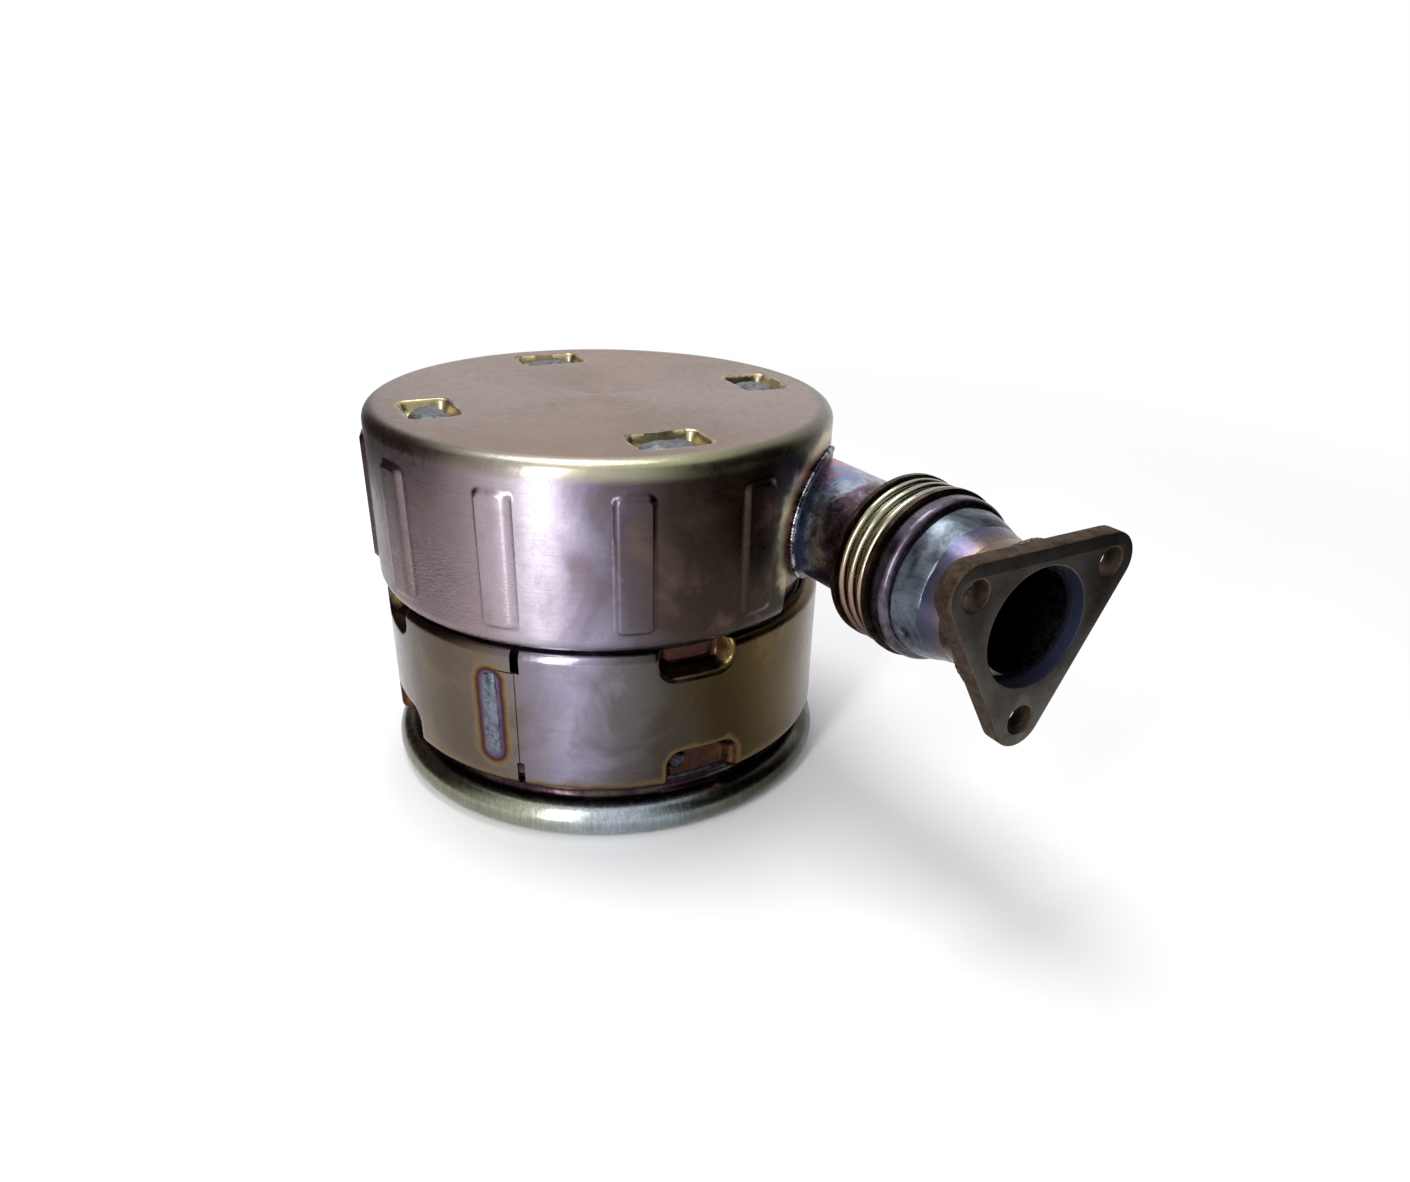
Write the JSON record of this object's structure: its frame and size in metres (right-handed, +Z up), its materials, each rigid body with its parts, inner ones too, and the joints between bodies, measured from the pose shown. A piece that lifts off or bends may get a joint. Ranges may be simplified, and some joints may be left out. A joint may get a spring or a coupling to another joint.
{
  "type": "catalytic converter",
  "caption": "Round shielded oxidation catalyst on an outlet bead flange, with a tangential side inlet, short bellows and triangular bolted flange.",
  "frame": {"origin": "centre of the outlet flange's underside, on the drum axis", "axes": "+Z up the drum axis, +X the way the inlet flange faces; the inlet pipe axis runs along X at y 66 mm, z 121.3 mm"},
  "size_m": [0.3002, 0.2095, 0.1634],
  "materials": {
    "shield_steel": "brushed, taupe heat tint",
    "band_steel": "brushed, straw and olive heat tint",
    "bead_steel": "satin, pale olive tint",
    "inner_steel": "dull, hidden",
    "weld_bead": "rough weld metal",
    "neck_weld_metal": "ground and rough, blue grey",
    "stub_steel": "satin, purple and straw heat tint",
    "collar_steel": "dark oxide",
    "bellows_steel": "bright, gold tint",
    "shoulder_steel": "satin, purple tint",
    "neck_steel": "satin, blue and brown tint",
    "sleeve_steel": "dark satin",
    "flange_plate": "machined face, rusty edges",
    "brick_ceramic": "dull cellular ceramic",
    "mat_fibre": "pressed ceramic fibre",
    "wire_seal": "knitted wire"
  },
  "bodies": {
    "root": {"upper_heat_shield": "shield_steel", "top_plug_welds": "weld_bead", "lower_heat_shield": "band_steel", "seam_plug_weld": "weld_bead", "dimple_spot_welds": "weld_bead", "inner_inlet_shell": "inner_steel", "shell_end_cap": "inner_steel", "cap_weld": "weld_bead", "catalyst_can": "inner_steel", "catalyst_substrate": "brick_ceramic", "support_mat": "mat_fibre", "mat_seal_rings": "wire_seal", "outlet_flange": "bead_steel", "outlet_weld": "weld_bead", "shell_weld": "weld_bead", "inlet_stub": "stub_steel", "stub_shell_weld": "weld_bead", "stub_shield_weld": "weld_bead", "rear_collar": "collar_steel", "bellows": "bellows_steel", "front_collar": "collar_steel", "shoulder_ring": "shoulder_steel", "inlet_neck": "neck_steel", "neck_weld": "neck_weld_metal", "flange_weld": "weld_bead", "flow_sleeve": "sleeve_steel", "inlet_flange": "flange_plate"}
  },
  "joints": []
}
